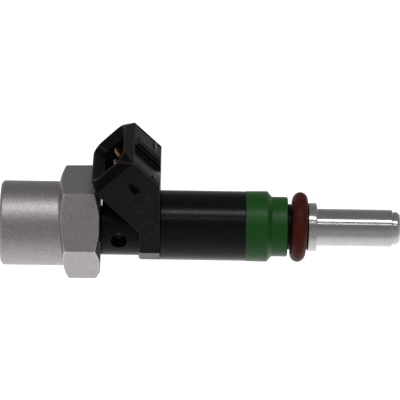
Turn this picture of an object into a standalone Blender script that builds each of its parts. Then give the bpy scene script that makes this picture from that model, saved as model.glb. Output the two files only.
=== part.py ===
# Port fuel injector with a screw-on inlet adapter, built as an assembly.
# Frame: X along the injector axis (inlet at -X, nozzle at +X), Z towards the
# electrical connector, Y completes the set. Lengths are in millimetres and
# are scaled to metres when a mesh is written.
# Axial stations are counted from the inlet end face and are named X_...
import bpy
import bmesh
import math
from mathutils import Vector, Matrix

MM = 0.001

# ---------------------------------------------------------------- dimensions
X_MID = 42.725         # inlet face to the middle of the injector
AXIS_Z = 10.5          # height of the axis above the lower hex flat

# inlet adapter
ADAPTER_R = 9.0
ADAPTER_CHAMFER = 0.65
HEX_AF = 21.0
X_HEX = 12.87
X_ADAPTER_END = 21.20
HEX_CORNER_R = 12.13
PORT_R = 5.35
PORT_DEPTH = 9.0
PASSAGE_R = 2.6
X_CUP = 11.0
CUP_R = 7.0

# inlet tube and what sits on it
X_TUBE = 11.6
TUBE_R = 3.70
TUBE_BORE_R = 2.60
TUBE_FLANGE_R = 5.6
X_TUBE_FLANGE_END = 12.4
X_TUBE_END = 33.95
RING_SECTION_R = 1.70
RING_MEAN_R = 5.20
X_RING = 14.45
X_BACKUP = 16.5
BACKUP_LEN = 1.4
BACKUP_OUT_R = 6.9

# retaining clip
X_CLIP = 21.42
CLIP_T = 0.34
CLIP_OUT_R = 6.6
CLIP_OPEN_DEG = 96.0
CLIP_MOUTH_AT = 35.0   # degrees from +Y towards the connector

# filter
FILTER_R = 2.52
X_FILTER = 11.9
FILTER_CAP_LEN = 1.4
SCREEN_R = 1.85
SCREEN_T = 0.22
SCREEN_LEN = 7.0

# rear plastic section
X_REAR = 21.85
REAR_R = 6.6
X_COLLAR = 29.50
X_BODY = 34.1
OVERMOULD_BORE_R = 3.76
VENT_R = 1.75
X_VENT, VENT_Z = 25.35, -0.36

# collar and connector
COLLAR_HALF_Y = 8.8
COLLAR_R = 7.5
COLLAR_FLAT_Z = -1.88
COLLAR_TAN_Y = 5.247
COLLAR_TAN_Z = -5.359
CONN_X = 24.267        # reference point on the socket's axis
CONN_Z = 16.337
CONN_HALF_Y = 8.8
CONN_HALF_B = 5.52
CONN_BACK = 19.0
CREASE_SIDE, CREASE_TOP = -0.10, -0.45   # where the rim's taper starts
RIM_FWD = 1.85
RIM_HALF_Y = 8.0
RIM_HALF_B = 4.70
RIM_CORNER = 2.3
SOCKET_HALF_Y = 7.45
SOCKET_HALF_B = 4.20
SOCKET_CORNER = 1.85
SOCKET_FLOOR = -9.6
RIB_Y0, RIB_Y1, RIB_H = 0.55, 3.55, 0.75
RIB_A0 = -0.85
SLOT_A0 = -0.65
SLOT_Y0, SLOT_Y1, SLOT_DEPTH = -6.4, 0.45, 0.90
BAR_LEN, BAR_W, BAR_H = 3.1, 0.8, 0.35
BARB_A0, BARB_RAMP, BARB_TOP, BARB_H = -3.1, 1.2, 1.9, 1.5
BARB_B0, BARB_B1 = -1.65, 0.95

# terminals
BLADE_W = 2.8
BLADE_T = 0.8
BLADE_PITCH = 5.0
BLADE_TIP = 0.45
BLADE_B = 0.45         # the blades stand a little off the socket's centre
BLADE_BEND = -12.8
TAIL_Z = 4.55
TAIL_T = 0.5
TAIL_X_END = 34.9
TAIL_Y0, TAIL_Y1 = 1.3, 2.5
BLADE_GAP = 0.06

# main plastic body
BODY_R = 7.5
X_BODY_END = 52.40
BODY_BORE_R = 5.95

# coloured sleeve
X_SLEEVE_STEP = 56.8
X_SLEEVE_NECK = 57.9
SLEEVE_NECK_R = 6.35
X_SLEEVE_END = 61.35

# magnetic circuit
SHELL_OUT_R, SHELL_IN_R = 3.60, 3.25
X_SHELL, X_SHELL_END = 34.05, 60.0
CORE_R, CORE_BORE_R = 3.20, 1.90
X_CORE, X_CORE_END = 34.1, 44.0
CAL_OUT_R, CAL_IN_R = 1.84, 1.10
X_CAL, X_CAL_END = 35.0, 40.0
LIFT = 0.10
ARM_R = 3.15
X_ARM, X_ARM_END, X_ARM_SEAT = 44.12, 50.5, 47.4
NEEDLE_R, NEEDLE_BORE_R = 1.10, 0.60
X_NEEDLE = 47.8
SPRING_MEAN_R, SPRING_WIRE_R, SPRING_TURNS = 1.45, 0.24, 6
CAN_OUT_R, CAN_IN_R = 5.88, 5.35
X_CAN, X_CAN_END, CAN_WALL = 35.2, 52.3, 0.9
BOBBIN_IN_R, BOBBIN_HUB_R, BOBBIN_FL_R = 3.66, 4.05, 5.28
X_BOBBIN, X_BOBBIN_END, BOBBIN_FL_T = 36.15, 51.3, 0.7
COIL_R = 5.15

# lower end
CARRIER_IN_R, CARRIER_GROOVE_R, CARRIER_FL_R = 3.36, 3.80, 4.9
X_CARRIER, X_CARRIER_END = 61.42, 65.92
O_RING_MEAN_R, O_RING_R, X_O_RING = 5.63, 1.785, 64.0
NOZZLE_INNER_R, NOZZLE_BORE_R, NOZZLE_R = 3.30, 2.50, 3.965
X_NOZZLE_STEP = 65.985
X_NOZZLE_INNER = 53.5
X_STEEL_COLLAR, X_STEEL_COLLAR_END, STEEL_COLLAR_R = 65.97, 67.66, 5.225
X_NOZZLE_END = 83.90
SEAT_R, X_SEAT, X_TIP = 3.45, 81.6, 85.45
BALL_R, X_BALL = 1.6, 82.6
PLATE_R, PLATE_T, X_PLATE = 1.95, 0.25, 84.66
JET_R, JET_PITCH_R = 0.16, 0.55

OUT_SEGS = 48
IN_SEGS = 24

for o in list(bpy.data.objects):
    bpy.data.objects.remove(o, do_unlink=True)


# ---------------------------------------------------------------- materials
def material(name, rgb, metallic, rough):
    m = bpy.data.materials.new(name)
    m.use_nodes = True
    b = m.node_tree.nodes["Principled BSDF"]
    b.inputs["Base Color"].default_value = (rgb[0], rgb[1], rgb[2], 1.0)
    b.inputs["Metallic"].default_value = metallic
    b.inputs["Roughness"].default_value = rough
    m.diffuse_color = (rgb[0], rgb[1], rgb[2], 1.0)
    return m


BLACK = (0.012, 0.013, 0.013)
BLASTED = (0.30, 0.29, 0.30)
STEEL = (0.55, 0.54, 0.55)


# ---------------------------------------------------------------- mesh tools
def place(p):
    """Assembly millimetres (axial station, y, height over the axis) to metres."""
    return Vector(((p[0] - X_MID) * MM, p[1] * MM, (p[2] + AXIS_Z) * MM))


def make(name, verts, faces, mat=None):
    me = bpy.data.meshes.new(name)
    me.from_pydata([place(v) for v in verts], [], faces)
    bm = bmesh.new()
    bm.from_mesh(me)
    bmesh.ops.recalc_face_normals(bm, faces=bm.faces)
    bm.to_mesh(me)
    bm.free()
    ob = bpy.data.objects.new(name, me)
    bpy.context.scene.collection.objects.link(ob)
    if mat is not None:
        me.materials.append(mat)
    return ob


def ring_points(n):
    return [(math.cos(2 * math.pi * k / n), math.sin(2 * math.pi * k / n)) for k in range(n)]


def revolve(name, profile, n, mat=None):
    """Turns a closed outline of (station, radius) about the injector axis."""
    verts, rows = [], []
    circle = ring_points(n)
    for x, r in profile:
        if r < 1e-6:
            rows.append([len(verts)])
            verts.append((x, 0.0, 0.0))
        else:
            rows.append(list(range(len(verts), len(verts) + n)))
            verts += [(x, r * c, r * s) for c, s in circle]
    faces = []
    for i in range(len(rows)):
        a, b = rows[i], rows[(i + 1) % len(rows)]
        if len(a) == 1 and len(b) == 1:
            continue
        for k in range(n):
            k2 = (k + 1) % n
            if len(a) == 1:
                faces.append((a[0], b[k], b[k2]))
            elif len(b) == 1:
                faces.append((a[k], b[0], a[k2]))
            else:
                faces.append((a[k], b[k], b[k2], a[k2]))
    return make(name, verts, faces, mat)


def loft(name, sections, mat=None):
    """Joins equal-count closed sections and caps both ends."""
    n = len(sections[0])
    verts = [p for s in sections for p in s]
    faces = []
    for i in range(len(sections) - 1):
        for k in range(n):
            k2 = (k + 1) % n
            faces.append((i * n + k, i * n + k2, (i + 1) * n + k2, (i + 1) * n + k))
    faces.append(tuple(range(n)))
    last = (len(sections) - 1) * n
    faces.append(tuple(range(last, last + n)))
    return make(name, verts, faces, mat)


def conn(a, y, b):
    """Point in the connector's own axes: a out of the socket, b across it."""
    h = math.sqrt(0.5)
    return (CONN_X - h * a + h * b, y, CONN_Z + h * a + h * b)


def rounded_rect(half_y, half_b, corner, steps):
    pts = []
    for cy, cb, start in ((1, 1, 0), (-1, 1, 90), (-1, -1, 180), (1, -1, 270)):
        for i in range(steps + 1):
            t = math.radians(start + 90.0 * i / steps)
            pts.append((cy * (half_y - corner) + corner * math.cos(t),
                        cb * (half_b - corner) + corner * math.sin(t)))
    return pts


def conn_prism(name, sections, mat=None):
    """Sections are (a, half_y, half_b, corner) rounded rectangles; a pair for a gives its
    value on the long cheeks and on the upper and lower faces."""
    out = []
    steps = 4
    for a, hy, hb, c in sections:
        side, top = a if isinstance(a, tuple) else (a, a)
        loop = []
        for k, (y, b) in enumerate(rounded_rect(hy, hb, c, steps)):
            f = (k % (steps + 1)) / steps
            if (k // (steps + 1)) % 2:
                f = 1.0 - f
            loop.append(conn(side + (top - side) * f, y, b))
        out.append(loop)
    return loft(name, out, mat)


def conn_box(name, a0, a1, y0, y1, b0, b1):
    return loft(name, [[conn(a, y0, b0), conn(a, y1, b0), conn(a, y1, b1), conn(a, y0, b1)]
                       for a in (a0, a1)])


def box(name, x0, x1, y0, y1, z0, z1):
    return loft(name, [[(x, y0, z0), (x, y1, z0), (x, y1, z1), (x, y0, z1)] for x in (x0, x1)])


def cylinder_y(name, x, z, r, y0, y1, n=24):
    return loft(name, [[(x + r * c, y, z + r * s) for c, s in ring_points(n)] for y in (y0, y1)])


def combine(ob, cutter, operation):
    """Applies one exact boolean and removes the cutter."""
    m = ob.modifiers.new("b", "BOOLEAN")
    m.solver = "EXACT"
    m.operation = operation
    m.object = cutter
    bpy.context.view_layer.update()
    dg = bpy.context.evaluated_depsgraph_get()
    new = bpy.data.meshes.new_from_object(ob.evaluated_get(dg))
    ob.modifiers.clear()
    old = ob.data
    ob.data = new
    bpy.data.meshes.remove(old)
    new.name = ob.name
    bpy.data.objects.remove(cutter, do_unlink=True)
    bm = bmesh.new()
    bm.from_mesh(new)
    bmesh.ops.remove_doubles(bm, verts=bm.verts, dist=1e-7)
    bmesh.ops.dissolve_degenerate(bm, dist=1e-7, edges=bm.edges)
    bmesh.ops.dissolve_limit(bm, angle_limit=math.radians(0.02), verts=bm.verts, edges=bm.edges)
    bm.to_mesh(new)
    bm.free()
    return ob


def one_material(ob, mat):
    ob.data.materials.clear()
    ob.data.materials.append(mat)
    for p in ob.data.polygons:
        p.material_index = 0


def smooth(ob, deg=30):
    for p in ob.data.polygons:
        p.use_smooth = True
    ob.data.set_sharp_from_angle(angle=math.radians(deg))


def arc(cx, cr, rad, a0, a1, n):
    """Outline points on an arc; angles in degrees, 0 along +X, 90 outwards."""
    return [(cx + rad * math.cos(math.radians(a0 + (a1 - a0) * i / n)),
             cr + rad * math.sin(math.radians(a0 + (a1 - a0) * i / n))) for i in range(n + 1)]


# ---------------------------------------------------------------- inlet adapter
def build_adapter():
    mat = material("blasted_metal", BLASTED, 0.9, 0.55)
    hx = loft("hex_blank", [
        [(x, HEX_AF / 2 / math.cos(math.pi / 6) * math.cos(math.radians(60 * k)),
          HEX_AF / 2 / math.cos(math.pi / 6) * math.sin(math.radians(60 * k))) for k in range(6)]
        for x in (X_HEX, X_ADAPTER_END)])
    turned = revolve("hex_turn", [
        (X_HEX - 0.2, 0.0), (X_HEX - 0.2, 8.55), (X_HEX, 8.95), (X_HEX + 0.43, 10.45),
        (X_HEX + 0.85, 11.45), (X_HEX + 1.35, HEX_CORNER_R), (20.20, HEX_CORNER_R),
        (20.70, 11.45), (X_ADAPTER_END + 0.2, 10.1), (X_ADAPTER_END + 0.2, 0.0)], OUT_SEGS)
    ob = combine(hx, turned, "INTERSECT")
    ob.name = "inlet_adapter"
    barrel = revolve("barrel", [
        (0.0, 0.0), (0.0, ADAPTER_R - ADAPTER_CHAMFER), (0.15, ADAPTER_R - 0.32),
        (0.38, ADAPTER_R - 0.09), (ADAPTER_CHAMFER, ADAPTER_R), (X_HEX + 1.5, ADAPTER_R),
        (X_HEX + 1.5, 0.0)], OUT_SEGS)
    ob = combine(ob, barrel, "UNION")
    bore = revolve("bore", [
        (-0.5, 0.0), (-0.5, PORT_R + 0.95), (0.45, PORT_R), (PORT_DEPTH, PORT_R),
        (PORT_DEPTH, PASSAGE_R), (X_CUP, PASSAGE_R), (X_CUP, CUP_R),
        (X_ADAPTER_END - 0.3, CUP_R), (X_ADAPTER_END + 0.5, CUP_R + 0.8),
        (X_ADAPTER_END + 0.5, 0.0)], OUT_SEGS)
    ob = combine(ob, bore, "DIFFERENCE")
    one_material(ob, mat)
    smooth(ob)
    return ob


build_adapter()

# sealing ring between the adapter cup and the inlet tube
ob = revolve("adapter_o_ring", arc(X_RING, RING_MEAN_R, RING_SECTION_R, 0, 324, 9), IN_SEGS,
             material("seal_rubber", (0.02, 0.02, 0.02), 0.0, 0.6))
smooth(ob, 60)

ob = revolve("backup_ring", [
    (X_BACKUP, TUBE_R + 0.06), (X_BACKUP, BACKUP_OUT_R), (X_BACKUP + BACKUP_LEN, BACKUP_OUT_R),
    (X_BACKUP + BACKUP_LEN, TUBE_R + 0.06)], IN_SEGS,
    material("ptfe_white", (0.75, 0.74, 0.70), 0.0, 0.5))
smooth(ob)


# open clip between the adapter and the plastic
def build_clip():
    n = 24
    pts_out, pts_in = [], []
    half = math.radians(CLIP_OPEN_DEG / 2)
    for i in range(n + 1):
        t = math.radians(CLIP_MOUTH_AT) + half + (2 * math.pi - 2 * half) * i / n
        edge = min(i, n - i) / n
        r_out = CLIP_OUT_R - (1.6 * (1 - edge / 0.10) ** 2 if edge < 0.10 else 0.0)
        pts_out.append((r_out * math.cos(t), r_out * math.sin(t)))
        pts_in.append(((TUBE_R + 0.06) * math.cos(t), (TUBE_R + 0.06) * math.sin(t)))
    outline = pts_out + pts_in[::-1]
    m = 2 * (n + 1)
    verts = [(x, y, z) for x in (X_CLIP, X_CLIP + CLIP_T) for y, z in outline]
    faces = []
    for k in range(n):
        o0, o1, i0, i1 = k, k + 1, m - 1 - k, m - 2 - k
        faces.append((o0, o1, i1, i0))
        faces.append((m + o0, m + i0, m + i1, m + o1))
    for k in range(m):
        k2 = (k + 1) % m
        faces.append((k, m + k, m + k2, k2))
    return make("retaining_clip", verts, faces, material("clip_steel", (0.06, 0.06, 0.065), 0.8, 0.45))


smooth(build_clip())

# ---------------------------------------------------------------- inlet tube
ob = revolve("inlet_tube", [
    (X_TUBE, TUBE_BORE_R + 0.25), (X_TUBE, TUBE_FLANGE_R - 0.3), (X_TUBE + 0.3, TUBE_FLANGE_R),
    (X_TUBE_FLANGE_END, TUBE_FLANGE_R), (X_TUBE_FLANGE_END + 0.25, 3.45), (X_BACKUP - 0.2, 3.45),
    (X_BACKUP, TUBE_R), (X_TUBE_END, TUBE_R), (X_TUBE_END, TUBE_BORE_R),
    (X_TUBE + 0.25, TUBE_BORE_R)], IN_SEGS,
    material("inlet_steel", STEEL, 1.0, 0.3))
smooth(ob)

ob = revolve("filter_frame", [
    (X_FILTER, SCREEN_R + 0.08), (X_FILTER, FILTER_R), (X_FILTER + FILTER_CAP_LEN, FILTER_R),
    (X_FILTER + FILTER_CAP_LEN, SCREEN_R + 0.08)], IN_SEGS,
    material("filter_brass", (0.62, 0.42, 0.16), 1.0, 0.35))
smooth(ob)

ob = revolve("filter_screen", [
    (X_FILTER + 0.1, SCREEN_R - SCREEN_T), (X_FILTER + 0.1, SCREEN_R),
    (X_FILTER + SCREEN_LEN, SCREEN_R - 0.45), (X_FILTER + SCREEN_LEN + 0.3, SCREEN_R - 0.9),
    (X_FILTER + SCREEN_LEN + 0.3, 0.0), (X_FILTER + SCREEN_LEN + 0.05, 0.0),
    (X_FILTER + SCREEN_LEN + 0.05, SCREEN_R - 1.0),
    (X_FILTER + SCREEN_LEN - 0.15, SCREEN_R - 0.45 - SCREEN_T)], IN_SEGS,
    material("filter_mesh", (0.45, 0.45, 0.46), 1.0, 0.5))
smooth(ob)

# ---------------------------------------------------------------- valve train
ob = revolve("pole_core", [
    (X_CORE, CORE_BORE_R), (X_CORE, CORE_R - 0.2), (X_CORE + 0.2, CORE_R),
    (X_CORE_END, CORE_R), (X_CORE_END, CORE_BORE_R)], IN_SEGS,
    material("core_steel", (0.50, 0.50, 0.52), 1.0, 0.35))
smooth(ob)

ob = revolve("calibration_tube", [
    (X_CAL, CAL_IN_R), (X_CAL, CAL_OUT_R - 0.15), (X_CAL + 0.3, CAL_OUT_R),
    (X_CAL_END, CAL_OUT_R), (X_CAL_END, CAL_IN_R)], IN_SEGS,
    material("calibration_brass", (0.62, 0.45, 0.20), 1.0, 0.35))
smooth(ob)


def build_spring():
    per, sides = 10, 5
    x0 = X_CAL_END + 0.06 + SPRING_WIRE_R
    x1 = X_ARM_SEAT - LIFT - 0.06 - SPRING_WIRE_R
    n = SPRING_TURNS * per
    verts, faces = [], []
    for i in range(n + 1):
        f = i / n
        t = 2 * math.pi * SPRING_TURNS * f
        x = x0 + (x1 - x0) * f
        radial = Vector((0.0, math.cos(t), math.sin(t)))
        tangent = Vector(((x1 - x0) / (2 * math.pi * SPRING_TURNS),
                          -SPRING_MEAN_R * math.sin(t), SPRING_MEAN_R * math.cos(t))).normalized()
        side = tangent.cross(radial).normalized()
        centre = Vector((x, SPRING_MEAN_R * math.cos(t), SPRING_MEAN_R * math.sin(t)))
        for k in range(sides):
            u = 2 * math.pi * k / sides
            verts.append(tuple(centre + SPRING_WIRE_R * (math.cos(u) * radial + math.sin(u) * side)))
    for i in range(n):
        for k in range(sides):
            k2 = (k + 1) % sides
            faces.append((i * sides + k, i * sides + k2, (i + 1) * sides + k2, (i + 1) * sides + k))
    faces.append(tuple(range(sides)))
    faces.append(tuple(range(n * sides, n * sides + sides)))
    return make("return_spring", verts, faces, material("spring_steel", (0.5, 0.5, 0.52), 1.0, 0.3))


smooth(build_spring(), 80)

ob = revolve("valve_shell", [
    (X_SHELL, SHELL_IN_R), (X_SHELL, SHELL_OUT_R), (X_SHELL_END, SHELL_OUT_R),
    (X_SHELL_END, SHELL_IN_R)], IN_SEGS, material("shell_steel", STEEL, 1.0, 0.3))
smooth(ob)

ob = revolve("armature", [
    (X_ARM, CORE_BORE_R), (X_ARM, ARM_R - 0.15), (X_ARM + 0.15, ARM_R), (X_ARM_END, ARM_R),
    (X_ARM_END, NEEDLE_R + 0.04), (X_ARM_SEAT, NEEDLE_R + 0.04), (X_ARM_SEAT, CORE_BORE_R)],
    IN_SEGS, material("armature_steel", (0.45, 0.45, 0.48), 1.0, 0.35))
smooth(ob)

ob = revolve("needle_tube", [
    (X_NEEDLE, NEEDLE_BORE_R), (X_NEEDLE, NEEDLE_R), (X_BALL - 1.25, NEEDLE_R),
    (X_BALL - 1.56, NEEDLE_BORE_R)], IN_SEGS, material("needle_steel", STEEL, 1.0, 0.28))
smooth(ob)

ball = [(X_BALL - BALL_R, 0.0)]
for i in range(1, 10):
    t = math.pi * i / 10
    ball.append((X_BALL - BALL_R * math.cos(t), BALL_R * math.sin(t)))
ball.append((X_BALL + BALL_R, 0.0))
ob = revolve("valve_ball", ball, IN_SEGS, material("ball_steel", (0.6, 0.6, 0.62), 1.0, 0.1))
smooth(ob, 60)


def build_guide():
    """Disc round the needle with three lobes; fuel passes between the lobes."""
    n = 24
    inner = NEEDLE_R + 0.05
    outline = []
    for k in range(n):
        t = 2 * math.pi * k / n
        lobe = 0.5 + 0.5 * math.cos(3 * t)
        outline.append((t, 1.75 + 0.69 * min(1.0, 1.6 * lobe)))
    verts, faces = [], []
    for x in (78.6, 80.0):
        verts += [(x, inner * math.cos(t), inner * math.sin(t)) for t, r in outline]
        verts += [(x, r * math.cos(t), r * math.sin(t)) for t, r in outline]
    for k in range(n):
        k2 = (k + 1) % n
        faces.append((k, k2, n + k2, n + k))
        faces.append((2 * n + k, 3 * n + k, 3 * n + k2, 2 * n + k2))
        faces.append((k, 2 * n + k, 2 * n + k2, k2))
        faces.append((n + k, n + k2, 3 * n + k2, 3 * n + k))
    return make("needle_guide", verts, faces, material("guide_steel", (0.5, 0.5, 0.5), 1.0, 0.35))


smooth(build_guide())

# ---------------------------------------------------------------- coil
ob = revolve("coil_bobbin", [
    (X_BOBBIN, BOBBIN_IN_R), (X_BOBBIN, BOBBIN_FL_R), (X_BOBBIN + BOBBIN_FL_T, BOBBIN_FL_R),
    (X_BOBBIN + BOBBIN_FL_T, BOBBIN_HUB_R), (X_BOBBIN_END - BOBBIN_FL_T, BOBBIN_HUB_R),
    (X_BOBBIN_END - BOBBIN_FL_T, BOBBIN_FL_R), (X_BOBBIN_END, BOBBIN_FL_R),
    (X_BOBBIN_END, BOBBIN_IN_R)], IN_SEGS)
post = box("post", 35.0, X_BOBBIN + 0.3, -1.9, 1.9, TAIL_Z - 0.35, TAIL_Z + 0.30)
ob = combine(ob, post, "UNION")
one_material(ob, material("bobbin_nylon", (0.20, 0.19, 0.16), 0.0, 0.5))
smooth(ob)

ob = revolve("coil_winding", [
    (X_BOBBIN + BOBBIN_FL_T + 0.08, BOBBIN_HUB_R + 0.05), (X_BOBBIN + BOBBIN_FL_T + 0.08, COIL_R),
    (X_BOBBIN_END - BOBBIN_FL_T - 0.08, COIL_R),
    (X_BOBBIN_END - BOBBIN_FL_T - 0.08, BOBBIN_HUB_R + 0.05)], IN_SEGS,
    material("enamelled_copper", (0.55, 0.20, 0.08), 1.0, 0.35))
smooth(ob)

ob = revolve("coil_housing", [
    (X_CAN, CAN_IN_R), (X_CAN, CAN_OUT_R), (X_CAN_END, CAN_OUT_R), (X_CAN_END, BOBBIN_IN_R),
    (X_CAN_END - CAN_WALL, BOBBIN_IN_R), (X_CAN_END - CAN_WALL, CAN_IN_R)], IN_SEGS,
    material("can_steel", (0.45, 0.45, 0.45), 1.0, 0.4))
smooth(ob)


def build_flux_washer():
    """C-shaped washer; the opening lets the coil leads past."""
    n = 24
    half = math.radians(38)
    outline_o, outline_i = [], []
    for i in range(n + 1):
        t = math.pi / 2 + half + (2 * math.pi - 2 * half) * i / n
        outline_o.append((5.27 * math.cos(t), 5.27 * math.sin(t)))
        outline_i.append((BOBBIN_IN_R * math.cos(t), BOBBIN_IN_R * math.sin(t)))
    outline = outline_o + outline_i[::-1]
    m = 2 * (n + 1)
    verts = [(x, y, z) for x in (35.25, 36.05) for y, z in outline]
    faces = []
    for k in range(n):
        faces.append((k, k + 1, m - 2 - k, m - 1 - k))
        faces.append((m + k, 2 * m - 1 - k, 2 * m - 2 - k, m + k + 1))
    for k in range(m):
        k2 = (k + 1) % m
        faces.append((k, m + k, m + k2, k2))
    return make("flux_washer", verts, faces, material("washer_steel", (0.45, 0.45, 0.45), 1.0, 0.4))


smooth(build_flux_washer())


# ---------------------------------------------------------------- terminals
def terminal_outline(grow):
    """Side outline of a terminal in station and height, tip first; grow widens it for its slot."""
    t = BLADE_T / 2 + grow
    a_tip = BLADE_TIP + grow
    p = [conn(a_tip, 0, BLADE_B - t * 0.45), conn(a_tip, 0, BLADE_B + t * 0.45), conn(a_tip - 1.3, 0, BLADE_B + t)]
    if grow:
        p = [conn(a_tip, 0, BLADE_B - t), conn(a_tip, 0, BLADE_B + t)]
    # outer corner of the bend, then down to the tail
    up = conn(BLADE_BEND, 0, BLADE_B + t)
    lo = conn(BLADE_BEND, 0, BLADE_B - t)
    x_r = up[0] + 0.05
    x_l = x_r - BLADE_T - 2 * grow
    z_l = lo[2] - (x_l - lo[0])
    z_lo = TAIL_Z - TAIL_T / 2 - grow
    p += [(up[0], 0, up[2]), (x_r, 0, up[2] - 0.12), (x_r, 0, z_lo), (x_l, 0, z_lo), (x_l, 0, z_l)]
    if not grow:
        p += [conn(a_tip - 1.3, 0, BLADE_B - t)]
    return [(q[0], q[2]) for q in p]


def prism_y(name, outline, y0, y1, mat=None):
    return loft(name, [[(x, y, z) for x, z in outline] for y in (y0, y1)], mat)


def build_terminal(name, side):
    yc = side * BLADE_PITCH / 2
    ob = prism_y(name, terminal_outline(0.0), yc - BLADE_W / 2, yc + BLADE_W / 2)
    # tips narrow towards the ends
    for s in (-1, 1):
        y_edge = yc + s * BLADE_W / 2
        cut = loft("tip", [[conn(BLADE_TIP + 0.2, y_edge - s * 0.75, b), conn(BLADE_TIP + 0.2, y_edge + s * 0.6, b),
                            conn(BLADE_TIP - 1.25, y_edge + s * 0.6, b), conn(BLADE_TIP - 1.25, y_edge + s * 0.02, b)]
                           for b in (BLADE_B - 1.0, BLADE_B + 1.0)])
        ob = combine(ob, cut, "DIFFERENCE")
    right = conn(BLADE_BEND, 0, BLADE_B + BLADE_T / 2)[0] + 0.05
    ya, yb = sorted((side * TAIL_Y0, side * TAIL_Y1))
    tail = box("tail", right - 0.4, TAIL_X_END, ya, yb, TAIL_Z - TAIL_T / 2 + 0.03, TAIL_Z + TAIL_T / 2)
    ob = combine(ob, tail, "UNION")
    one_material(ob, material("tinned_bronze_" + name, (0.42, 0.25, 0.17), 1.0, 0.35))
    smooth(ob)
    return ob


build_terminal("terminal_near", -1)
build_terminal("terminal_far", 1)


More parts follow.
